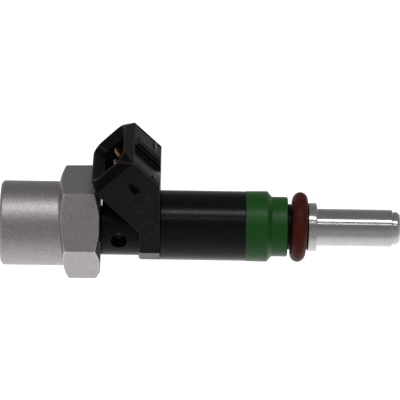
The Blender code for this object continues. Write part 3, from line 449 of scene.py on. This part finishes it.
def loft(name, sections, mat=None, bevel=0.0, segs=2, deg=30.0):
    n = len(sections[0])
    verts = [p for s in sections for p in s]
    faces = []
    for i in range(len(sections) - 1):
        for k in range(n):
            k2 = (k + 1) % n
            faces.append((i * n + k, i * n + k2, (i + 1) * n + k2, (i + 1) * n + k))
    faces.append(tuple(range(n)))
    last = (len(sections) - 1) * n
    faces.append(tuple(range(last, last + n)))
    ob = obj(name, verts, faces, mat, None)
    if bevel:
        bm = bmesh.new()
        bm.from_mesh(ob.data)
        edges = [e for e in bm.edges if len(e.link_faces) == 2 and e.calc_face_angle(0) > math.radians(deg)]
        bmesh.ops.bevel(bm, geom=edges, offset=bevel * MM, segments=segs, profile=0.5, affect="EDGES",
                        clamp_overlap=True)
        bmesh.ops.recalc_face_normals(bm, faces=bm.faces)
        bm.to_mesh(ob.data)
        bm.free()
    return ob


def rrect(hy, hb, c, steps):
    pts = []
    for cy, cb, start in ((1, 1, 0), (-1, 1, 90), (-1, -1, 180), (1, -1, 270)):
        for i in range(steps + 1):
            t = math.radians(start + 90.0 * i / steps)
            pts.append((cy * (hy - c) + c * math.cos(t), cb * (hb - c) + c * math.sin(t)))
    return pts


def conn_loft(name, sections, steps=8):
    return loft(name, [[conn(a, y, b) for y, b in rrect(hy, hb, c, steps)] for a, hy, hb, c in sections])


def combine(ob, cutter, op):
    m = ob.modifiers.new("b", "BOOLEAN")
    m.solver = "EXACT"
    m.operation = op
    m.object = cutter
    bpy.context.view_layer.update()
    dg = bpy.context.evaluated_depsgraph_get()
    new = bpy.data.meshes.new_from_object(ob.evaluated_get(dg))
    ob.modifiers.clear()
    old = ob.data
    ob.data = new
    bpy.data.meshes.remove(old)
    bpy.data.objects.remove(cutter, do_unlink=True)
    bm = bmesh.new()
    bm.from_mesh(new)
    bmesh.ops.remove_doubles(bm, verts=bm.verts, dist=2e-7)
    bmesh.ops.dissolve_degenerate(bm, dist=2e-7, edges=bm.edges)
    bm.to_mesh(new)
    bm.free()
    return ob


def finish_piece(ob, name, mat, body, nodes, deg=35.0):
    ob.name = name
    ob.data.name = name
    ob.data.materials.clear()
    ob.data.materials.append(mat)
    for p in ob.data.polygons:
        p.material_index = 0
    shade(ob, deg)
    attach(ob, body)
    if nodes:
        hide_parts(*nodes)
    return ob


def put(ob, body, nodes):
    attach(ob, body)
    if nodes:
        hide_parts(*nodes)
    return ob


def smin(a, b, k):
    h = max(k - abs(a - b), 0.0) / k
    return min(a, b) - h * h * k / 4


# ------------------------------------------------------------------ inlet adapter
def adapter():
    n = 240
    af = 21.2
    outer = fillet([(0.0, 5.95, 0), (0.0, 8.55, 0.04), (0.50, 9.07, 0.35), (12.70, 9.07, 0.12), (12.80, 9.60, 0.05),
                    (13.08, 10.60, 0.3), (13.95, 12.50, 0.4), (19.98, 12.62, 0.3), (20.66, 11.35, 0.3), (21.20, 10.38, 0.06),
                    (21.12, 10.05, 0.05), (20.10, 7.0, 0.1)], closed=False, n=5)
    # extra stations along the straight runs so the hexagon's flats are sampled
    dense = []
    for i in range(len(outer) - 1):
        (x0, r0), (x1, r1) = outer[i], outer[i + 1]
        steps = max(1, int(abs(x1 - x0) / 0.45), int(abs(r1 - r0) / 0.3) if r1 > 9 or r0 > 9 else 1)
        for s in range(steps):
            dense.append((x0 + (x1 - x0) * s / steps, r0 + (r1 - r0) * s / steps))
    dense.append(outer[-1])
    hexr = []
    turn, ecc = 1.5, 0.476
    for k in range(n):
        t = 360.0 * k / n
        # flats with normals at 30, 90, 150, ... from +Y, a touch turned and off the barrel's centre
        rr = []
        for c in (30, 90, 150, 210, 270, 330):
            q = math.cos(math.radians(t - c - turn))
            if q > 0.3:
                rr.append((af / 2 + ecc * math.cos(math.radians(60 - c - turn))) / q)
        rr.sort()
        r = smin(rr[0], rr[1], 0.06)
        cy = math.cos(math.radians(t))
        hexr.append(min(r, 12.08 / cy) if cy > 0.9 else r)
    rows = []
    # the hexagon's left end leans: later at the bottom, a touch earlier on top; its right rim leans a little too
    ts = [math.radians(360.0 * k / n) for k in range(n)]
    lean_l = [0.31 - 0.56 * math.cos(t - math.radians(60)) - 0.31 * math.sin(t - math.radians(60)) for t in ts]
    lean_r = [0.14 * math.cos(t - math.radians(150)) for t in ts]
    for x, r in dense:
        if x > 12.5 and r > 9.0:
            f = max(0.0, min(1.0, (19.98 - x) / (19.98 - 13.95)))
            g = max(0.0, min(1.0, (x - 19.0) / 1.5))
            rows.append(([x + f * p + g * q for p, q in zip(lean_l, lean_r)], [smin(r, h, 0.08) if r > 10.0 else r for h in hexr]))
        else:
            rows.append((x, [r] * n))
    rows.append((11.0, [7.0] * n))
    rows.append((11.0, [2.8] * n))
    rows.append((10.8, [2.6] * n))
    rows.append((9.2, [2.6] * n))
    rows.append((9.0, [3.0] * n))
    # threaded port: a helix with 1.5 mm pitch, run out near the bottom
    pitch, steps = 1.5, 10
    total = int(7.6 / pitch * steps)
    rows.append((9.0, [5.35] * n))
    for i in range(total + 1):
        x = 8.3 - i * pitch / steps
        rr = []
        for k in range(n):
            ph = (x / pitch - k / n) % 1.0
            tri = 1.0 - abs(2 * ph - 1.0)
            fade = min(1.0, max(0.0, (8.2 - x) / 0.8), max(0.0, (x - 0.55) / 0.5))
            rr.append(5.35 + 0.62 * fade * max(0.0, min(1.0, tri * 1.25 - 0.12)))
        rows.append((x, rr))
    rows.append((0.45, [5.40] * n))
    ob = grid("adapter_metal", rows, n, M_BLAST, 40.0)
    return put(ob, "adapter", ["inlet_adapter"])


adapter()

# ------------------------------------------------------------------ neck and clip
put(lathe("neck_tube", [
    (11.6, 2.85, 0), (11.6, 5.3, 0.1), (11.9, 5.6, 0.1), (12.4, 5.6, 0.1), (12.65, 3.45, 0.1), (16.3, 3.45, 0.1),
    (16.5, 3.70, 0.05), (33.95, 3.70, 0.1), (33.95, 2.60, 0.05), (11.85, 2.60, 0)], 96, M_TUBE),
    "injector_body", ["inlet_tube"])


def clip():
    n = 64
    half = math.radians(53)
    o, i_ = [], []
    for i in range(n + 1):
        t = math.radians(60) + half + (2 * math.pi - 2 * half) * i / n
        e = min(i, n - i) / n
        ro = 6.6 - (1.6 * (1 - e / 0.10) ** 2 if e < 0.10 else 0.0)
        o.append((ro * math.cos(t), ro * math.sin(t)))
        i_.append((4.08 * math.cos(t), 4.08 * math.sin(t)))
    outline = o + i_[::-1]
    ob = loft("clip_ring", [[(x, y, z) for y, z in outline] for x in (21.40, 21.58)])
    # concave outline: rebuild the two side faces as quads
    bm = bmesh.new()
    bm.from_mesh(ob.data)
    bm.verts.ensure_lookup_table()
    m = len(outline)
    bmesh.ops.delete(bm, geom=[f for f in bm.faces if len(f.verts) == m], context="FACES_ONLY")
    for base in (0, m):
        for k in range(n):
            bm.faces.new([bm.verts[base + j] for j in (k, k + 1, m - 2 - k, m - 1 - k)])
    bmesh.ops.recalc_face_normals(bm, faces=bm.faces)
    bmesh.ops.bevel(bm, geom=[e for e in bm.edges if e.calc_face_angle(0) > 0.8], offset=0.06 * MM, segments=2,
                    profile=0.5, affect="EDGES")
    bm.to_mesh(ob.data)
    bm.free()
    finish_piece(ob, "clip_ring", M_CLIP, "injector_body", ["retaining_clip"])


clip()

# ------------------------------------------------------------------ connector moulding
HY, HB = 8.8, 5.52
CREASE_SIDE, CREASE_TOP = -0.10, -0.45
RIM_A, RIM_Y, RIM_B, RIM_C = 1.72, 8.06, 4.88, 2.65
X_COL, X_BODY = 29.50, 34.1


def cheek(b):
    """Half width of the moulding at height b: the cheeks lean out a little towards the upper face."""
    return HY + 0.36 * (0.5 + 0.5 * b / HB)


def conn_prism(name, sections, steps=8):
    """Sections: (a at the cheeks, a at the upper and lower faces, half y, half b above, half b below, corner,
    how much wider the upper face is than the lower one)."""
    out = []
    for side, top, hy, hb, hb_low, c, grow in sections:
        loop = []
        for k, (y, b) in enumerate(rrect(hy, hb, c, steps)):
            f = (k % (steps + 1)) / steps
            if (k // (steps + 1)) % 2:
                f = 1.0 - f
            b = b if b > 0 else b * hb_low / hb
            out_y = math.copysign(1.0, y) * grow * (0.5 + 0.5 * b / HB) if abs(y) > hy * 0.8 else 0.0
            loop.append(conn(side + (top - side) * f, y + out_y, b))
        out.append(loop)
    return loft(name, out)


def ring_cut(name, centre, r0, r1, depth0, depth1, n=32, axis="y", sign=-1):
    """Thin tube used to cut a shallow circular groove on a cheek."""
    verts, faces = [], []
    cx, cz = centre
    for y in (depth0, depth1):
        for r in (r0, r1):
            for k in range(n):
                t = 2 * math.pi * k / n
                verts.append((cx + r * math.cos(t), sign * y, cz + r * math.sin(t)))
    for k in range(n):
        k2 = (k + 1) % n
        faces += [(k, k2, n + k2, n + k), (2 * n + k, 3 * n + k, 3 * n + k2, 2 * n + k2),
                  (k, 2 * n + k, 2 * n + k2, k2), (n + k, n + k2, 3 * n + k2, 3 * n + k)]
    return obj(name, verts, faces, None, None)


def connector():
    # box and taper; the lower face draws in towards the socket
    d = 0.04
    shell = conn_prism("shell", [
        (-19.0, -19.0, HY, HB, HB, 0.26, 0.36),
        (-3.6, -3.6, HY, HB, HB, 0.26, 0.36), (-1.6, -1.9, HY, HB, HB - 0.02, 0.26, 0.36),
        (CREASE_SIDE - 0.12, CREASE_TOP - 0.12, HY, HB, HB - 0.05, 0.26, 0.36),
        (CREASE_SIDE, CREASE_TOP, HY - d, HB - d * 0.4, HB - 0.08, 0.26, 0.36),
        (CREASE_SIDE + 0.12, CREASE_TOP + 0.12, HY - 0.09, HB - 0.07, HB - 0.13, 0.36, 0.33),
        (RIM_A - 0.13, RIM_A - 0.13, RIM_Y + 0.075, RIM_B + 0.065, RIM_B + 0.20, RIM_C - 0.02, 0.0),
        (RIM_A - 0.04, RIM_A - 0.04, RIM_Y - 0.01, RIM_B - 0.02, RIM_B + 0.14, RIM_C - 0.05, 0.0),
        (RIM_A, RIM_A, RIM_Y - 0.09, RIM_B - 0.10, RIM_B + 0.06, RIM_C - 0.12, 0.0)])
    # keying rib with two fine steps
    rib = loft("rib", [
        [conn(a, 0.50, HB - 0.6), conn(a, 3.60, HB - 0.6), conn(a - k, 3.35, HB + h), conn(a - k, 2.75, HB + h),
         conn(a - k, 2.68, HB + h + g), conn(a - k, 1.45, HB + h + g), conn(a - k, 1.38, HB + h), conn(a - k, 0.62, HB + h)]
        for a, k, h, g in ((-0.72, 0.75, 0.62, 0.16), (-17.0, 0.0, 0.62, 0.16))], bevel=0.06, deg=25)
    shell = combine(shell, rib, "UNION")
    for yc in (-5.9, 6.3):
        bar = loft("bar", [[conn(a, yc - h, b) for a, b in (
            (-6.02, HB - 0.4), (-6.02, HB - 0.02), (-6.06, HB + 0.22), (-6.14, HB + 0.31), (-6.26, HB + 0.33),
            (-6.90, HB + 0.03), (-6.95, HB - 0.4))] for yc, h in ((yc, 1.55), (yc, -1.55))], bevel=0.05, deg=40)
        shell = combine(shell, bar, "UNION")
    # deep slot beside the rib, rising in a shallow hollow towards the near edge
    pts = [(-6.8, 0.7), (-6.8, 0.012), (-6.3, -0.015), (-5.4, -0.085), (-4.4, -0.195), (-3.4, -0.34), (-2.4, -0.50), (-1.7, -0.64),
           (-1.1, -0.80), (-0.8, -0.90), (-0.5, -0.95), (0.30, -0.95), (0.42, -0.90), (0.46, -0.80), (0.46, 0.7)]
    slot = loft("slot", [[conn(a, y, HB + t) for y, t in pts] for a in (-0.62, -20.0)])
    shell = combine(shell, slot, "DIFFERENCE")
    # shallow groove along both long edges of the upper face
    for s in (-1, 1):
        y0, y1 = sorted((s * 7.90, s * 8.42))
        g = loft("groove", [[conn(a, y0, HB + 0.3), conn(a, y0, HB - 0.18), conn(a, y0 + 0.10, HB - 0.28),
                             conn(a, y1 - 0.10, HB - 0.28), conn(a, y1, HB - 0.18), conn(a, y1, HB + 0.3)]
                            for a in (-0.9, -17.5)])
        shell = combine(shell, g, "DIFFERENCE")
    for s in (-1, 1):
        y0, y1, ym = s * (HY - 0.5), s * (HY + 1.6), s * (cheek(0) + 0.02)
        barb = loft("barb", [[conn(-2.6, y0, b), conn(-2.95, ym, b), conn(-4.25, y1, b), conn(-6.0, y1, b), conn(-6.25, y0, b)]
                             for b in (-1.75, 0.92)], bevel=0.10, segs=2)
        shell = combine(shell, barb, "UNION")
        rows = []
        for t, r in ((-0.95, 0.30), (-0.75, 0.62), (-0.4, 0.86), (0.0, 1.0), (0.6, 1.10)):
            rows.append([conn(-4.95 + 1.65 * r * math.cos(2 * math.pi * k / 28), s * (cheek(1.5) + t),
                              1.50 + 0.68 * r * math.sin(2 * math.pi * k / 28)) for k in range(28)])
        shell = combine(shell, loft("scoop", rows), "DIFFERENCE")
    # collar section across the axis
    sect = [(8.785, 12.0), (8.785, -1.88)]
    a0 = math.degrees(math.atan2(-5.359, 5.247))
    for i in range(33):
        t = math.radians(a0 + (-180 - 2 * a0) * i / 32)
        sect.append((7.5 * math.cos(t), 7.5 * math.sin(t)))
    sect += [(-8.785, -1.88), (-8.785, 12.0)]
    block = loft("collar", [[(x, y * s, z * s if z < 0 else z) for y, z in sect]
                            for x, s in ((X_COL, 0.935), (X_COL + 0.07, 0.957), (X_COL + 0.19, 0.976), (X_COL + 0.36, 0.991),
                                         (X_COL + 0.6, 1.0), (X_BODY + 2.0, 1.0))])
    low, far = conn(0, 0, -HB), conn(-19.0, 0, -HB)
    trim = loft("trim", [[(x, y, z) for x, z in ((low[0] - 3.0, low[2] + 3.02), (far[0] + 3.0, far[2] - 2.98),
                                                 (far[0] + 3.0, 30.0), (low[0] - 3.0, 30.0))] for y in (-12.0, 12.0)])
    block = combine(block, trim, "DIFFERENCE")
    rear = lathe("rear", [(19.2, 0.0, 0), (19.2, 4.0, 0.15), (21.64, 4.02, 0), (21.64, 6.6, 0.10), (31.03, 6.6, 0), (31.03, 0.0, 0)],
                 134, None, None)
    block = combine(block, rear, "UNION")
    block = combine(block, shell, "UNION")
    past = loft("past", [[(x, -15, -12), (x, 15, -12), (x, 15, 40), (x, -15, 40)] for x in (X_BODY - 0.024, 70.0)])
    block = combine(block, past, "DIFFERENCE")
    socket = conn_loft("socket", [
        (-9.6, 5.86, 2.95, 1.1), (RIM_A - 1.95, 5.92, 3.00, 1.15), (RIM_A - 1.72, 5.97, 3.05, 1.2),
        (RIM_A - 0.30, 7.38, 4.34, 2.15), (RIM_A - 0.14, 7.50, 4.44, 2.25), (RIM_A - 0.05, 7.58, 4.51, 2.3),
        (RIM_A + 0.30, 7.90, 4.80, 2.5)])
    block = combine(block, socket, "DIFFERENCE")
    bore = lathe("bore", [(18.5, 0.0, 0), (18.5, 3.76, 0), (36.0, 3.76, 0), (36.0, 0.0, 0)], 96, None, None)
    block = combine(block, bore, "DIFFERENCE")
    vent = loft("vent", [[(25.35 + r * math.cos(2 * math.pi * k / 48), y, -0.36 + r * math.sin(2 * math.pi * k / 48)) for k in range(48)]
                         for y, r in ((-9.0, 1.80), (0.0, 1.72))])
    block = combine(block, vent, "DIFFERENCE")
    # slots that the blades stand in
    for side in (-1, 1):
        yc = side * 2.5
        cut = loft("blade_slot", [[conn(a, y, b + 0.45) for y, b in ((yc - 1.47, -0.47), (yc + 1.47, -0.47), (yc + 1.47, 0.47), (yc - 1.47, 0.47))]
                                  for a in (-9.0, -11.8)])
        block = combine(block, cut, "DIFFERENCE")
    # plain raised label panel and an ejector mark on the cheeks
    for s in (-1, 1):
        panel = loft("panel", [[conn(a, s * (cheek(b) + y), b) for a, b in ((-8.0 - g, -2.08 + g), (-9.90 + g, -2.08 + g), (-9.90 + g, 2.12 - g), (-8.0 - g, 2.12 - g))]
                               for y, g in ((-0.4, 0.0), (0.07, 0.0), (0.13, 0.06))])
        block = combine(block, panel, "UNION")
        block = combine(block, ring_cut("mark", (31.9, 4.3), 1.55, 1.70, cheek(-3.1) - 0.06, HY + 0.6, n=48, sign=s), "DIFFERENCE")
    return weigh(finish_piece(block, "connector_black", M_BLACK, "injector_body", ["connector_overmould"], 30.0))


connector()


# hollow pin seen at the bottom of the vent hole
def vent_pin():
    secs = []
    for y, r in ((-3.2, 0.92), (-3.88, 0.92), (-4.02, 0.88), (-4.08, 0.78), (-4.08, 0.62), (-4.00, 0.50), (-3.88, 0.44), (-3.50, 0.42)):
        secs.append([(25.35 + r * math.cos(2 * math.pi * k / 32), y, -0.36 + r * math.sin(2 * math.pi * k / 32)) for k in range(32)])
    return finish_piece(loft("vent_pin", secs), "vent_pin", M_PIN, "injector_body", None, 50.0)


vent_pin()


# ------------------------------------------------------------------ terminals
def blade(name, node, side):
    yc = side * 2.5
    secs = []
    for a, w, t in ((0.44, 0.60, 0.16), (0.30, 0.78, 0.24), (-0.50, 1.26, 0.36), (-0.80, 1.36, 0.40), (-1.05, 1.40, 0.40),
                    (-11.5, 1.40, 0.40)):
        secs.append([conn(a, yc + y, b + 0.45) for y, b in rrect(w, t, min(0.10, t * 0.6), 3)])
    ob = loft(name, secs)
    return finish_piece(ob, name, M_TERM, "injector_body", [node], 40.0)


blade("blade_near", "terminal_near", -1)
blade("blade_far", "terminal_far", 1)


# ------------------------------------------------------------------ main body
def body():
    ob = lathe("body_black", [(34.12, 5.95, 0), (34.12, 7.40, 0.08), (34.24, 7.5, 0.08), (52.36, 7.5, 0.06),
                              (52.36, 5.95, 0)], 192, None)
    # ejector mark: a fine ring pressed into the curved wall on each side
    n = 48
    for s in (-1, 1):
        verts, faces = [], []
        for depth in (-0.05, 0.4):
            for r in (1.72, 1.88):
                for k in range(n):
                    t = 2 * math.pi * k / n
                    z = -0.4 + r * math.sin(t)
                    verts.append((37.56 + r * math.cos(t), s * (math.sqrt(7.5 ** 2 - z * z) + depth), z))
        for k in range(n):
            k2 = (k + 1) % n
            faces += [(k, k2, n + k2, n + k), (2 * n + k, 3 * n + k, 3 * n + k2, 2 * n + k2),
                      (k, 2 * n + k, 2 * n + k2, k2), (n + k, n + k2, 3 * n + k2, 3 * n + k)]
        ob = combine(ob, obj("mark", verts, faces, None, None), "DIFFERENCE")
    return weigh(finish_piece(ob, "body_black", M_BODY, "injector_body", ["body_overmould"], 30.0))


body()

put(lathe("sleeve_green", [
    (52.40, 3.66, 0), (52.40, 7.5, 0.05), (52.52, 7.56, 0.05), (56.98, 7.60, 0.26), (58.00, 6.43, 0.18),
    (61.38, 6.43, 0.34), (61.38, 3.66, 0)], 160, M_GREEN), "injector_body", ["green_sleeve"])

put(lathe("spool_black", [
    (61.42, 3.36, 0), (61.42, 4.9, 0.12), (62.15, 4.9, 0.12), (62.15, 3.80, 0), (65.34, 3.80, 0), (65.34, 4.9, 0.08),
    (65.58, 4.9, 0.08), (65.58, 3.36, 0)], 128, M_SPOOL), "injector_body", ["o_ring_carrier"])


def o_ring():
    n, m = 144, 40
    rows = []
    for j in range(m):
        t = 2 * math.pi * j / m
        # the soft ring sits a little askew in its groove
        xs = [63.80 + 1.67 * math.cos(t) + 0.30 * math.sin(2 * math.pi * k / n) * (5.63 + 1.78 * math.sin(t)) / 7.4 for k in range(n)]
        rows.append((xs, [5.71 + 1.80 * math.sin(t)] * n))
    return put(grid("seal_brown", rows, n, M_RING, 80.0), "injector_body", ["nozzle_o_ring"])


o_ring()

put(lathe("collar_ring", [
    (65.63, 4.05, 0), (65.63, 5.225, 0.36), (67.66, 5.225, 0.36), (67.66, 4.05, 0)], 128, M_COLLAR),
    "injector_body", ["nozzle_collar"])

put(lathe("nozzle_steel", [
    (53.5, 2.5, 0), (53.5, 3.2, 0), (60.1, 3.2, 0), (60.2, 3.3, 0), (65.985, 3.3, 0), (65.985, 4.01, 0.05),
    (83.88, 4.01, 0.36), (83.88, 3.48, 0.02), (81.54, 3.48, 0), (81.54, 2.5, 0)], 128, M_NOZZLE),
    "injector_body", ["nozzle_tube"])

put(lathe("tip_steel", [
    (81.6, 1.65, 0), (81.6, 3.45, 0), (84.06, 3.45, 0.02), (84.10, 3.56, 0.03), (84.85, 3.56, 0.2), (85.45, 3.12, 0.12), (85.45, 2.22, 0.12), (85.28, 1.99, 0.05), (84.62, 1.99, 0),
    (84.62, 0.85, 0), (84.05, 0.85, 0), (83.25, 1.65, 0)], 128, M_TIP), "injector_body", ["valve_seat"])

# ------------------------------------------------------------------ carried-over CAD nodes
KEEP = {
    "adapter_o_ring": M_SEAL, "backup_ring": M_PTFE, "filter_frame": M_BRASS, "filter_screen": M_MAG,
    "pole_core": M_MAG, "calibration_tube": M_BRASS, "return_spring": M_MAG, "valve_shell": M_TUBE,
    "armature": M_MAG, "needle_tube": M_TUBE, "valve_ball": M_TIP, "needle_guide": M_TUBE,
    "coil_bobbin": M_BOBBIN, "coil_winding": M_COIL, "coil_housing": M_MAG, "flux_washer": M_MAG,
    "orifice_plate": M_TIP,
}
for node, mat in KEEP.items():
    o = frame["nodes"][node]
    if not o.material_slots:
        o.data.materials.append(mat)
    for s in o.material_slots:
        s.material = mat


# ------------------------------------------------------------------ stage and light
def stage():
    z = -0.30
    s = 3.0
    me = bpy.data.meshes.new("floor")
    me.from_pydata([(-s, -s, z), (s, -s, z), (s, s, z), (-s, s, z)], [], [(0, 1, 2, 3)])
    fl = bpy.data.objects.new("floor", me)
    bpy.context.scene.collection.objects.link(fl)
    m = bpy.data.materials.new("floor_pale_glow")
    m.use_nodes = True
    nt = m.node_tree
    b = nt.nodes["Principled BSDF"]
    b.inputs["Base Color"].default_value = (0.78, 0.78, 0.78, 1)
    b.inputs["Roughness"].default_value = 0.9
    tc = nt.nodes.new("ShaderNodeTexCoord")
    mp = nt.nodes.new("ShaderNodeMapping")
    mp.inputs["Location"].default_value = (0.0, -0.52, -z)
    nt.links.new(tc.outputs["Object"], mp.inputs["Vector"])
    ln = nt.nodes.new("ShaderNodeVectorMath")
    ln.operation = "LENGTH"
    nt.links.new(mp.outputs["Vector"], ln.inputs[0])
    # painted light: the floor glows, brightest in a pool behind the injector and fading outwards
    mr = nt.nodes.new("ShaderNodeMapRange")
    mr.interpolation_type = "SMOOTHSTEP"
    mr.inputs["From Min"].default_value = 0.15
    mr.inputs["From Max"].default_value = 1.35
    mr.inputs["To Min"].default_value = 0.92
    mr.inputs["To Max"].default_value = 0.20
    nt.links.new(ln.outputs["Value"], mr.inputs["Value"])
    b.inputs["Emission Color"].default_value = (1, 1, 1, 1)
    nt.links.new(mr.outputs["Result"], b.inputs["Emission Strength"])
    me.materials.append(m)


stage()


def area(name, elev_deg, azim_deg, dist, w, h, power, col=(1, 1, 1)):
    """Softbox aimed at the injector; elevation counts from the viewer's horizon over the top."""
    e, a = math.radians(elev_deg), math.radians(azim_deg)
    d = Vector((math.sin(a) * math.cos(e), -math.cos(a) * math.cos(e), math.sin(e)))
    ld = bpy.data.lights.new(name, "AREA")
    ld.shape = "RECTANGLE"
    ld.size = w
    ld.size_y = h
    ld.energy = power
    ld.color = col
    lo = bpy.data.objects.new(name, ld)
    bpy.context.scene.collection.objects.link(lo)
    centre = P(42, 0, 3)
    lo.location = centre + d * dist
    z = d.normalized()
    x = Vector((math.cos(a), math.sin(a), 0))
    y = z.cross(x).normalized()
    lo.matrix_world = Matrix.Translation(lo.location) @ Matrix((
        (x.x, y.x, z.x, 0), (x.y, y.y, z.y, 0), (x.z, y.z, z.z, 0), (0, 0, 0, 1)))
    return lo


area("key", 74.5, 0, 0.7, 1.1, 0.112, 2.05)
area("second", 53.5, 0, 0.7, 0.8, 0.03, 0.25)
area("left", 22.0, -70, 0.9, 0.7, 0.45, 0.35)

w = bpy.data.worlds.new("studio")
bpy.context.scene.world = w
w.use_nodes = True
bg = w.node_tree.nodes["Background"]
tcw = w.node_tree.nodes.new("ShaderNodeTexCoord")
sep = w.node_tree.nodes.new("ShaderNodeSeparateXYZ")
w.node_tree.links.new(tcw.outputs["Generated"], sep.inputs[0])
mrw = w.node_tree.nodes.new("ShaderNodeMapRange")
mrw.inputs["From Min"].default_value = -0.05
mrw.inputs["From Max"].default_value = 0.55
mrw.inputs["To Min"].default_value = 0.42
mrw.inputs["To Max"].default_value = 0.22
w.node_tree.links.new(sep.outputs["Z"], mrw.inputs["Value"])
w.node_tree.links.new(mrw.outputs["Result"], bg.inputs["Strength"])
bg.inputs["Color"].default_value = (1, 1, 1, 1)
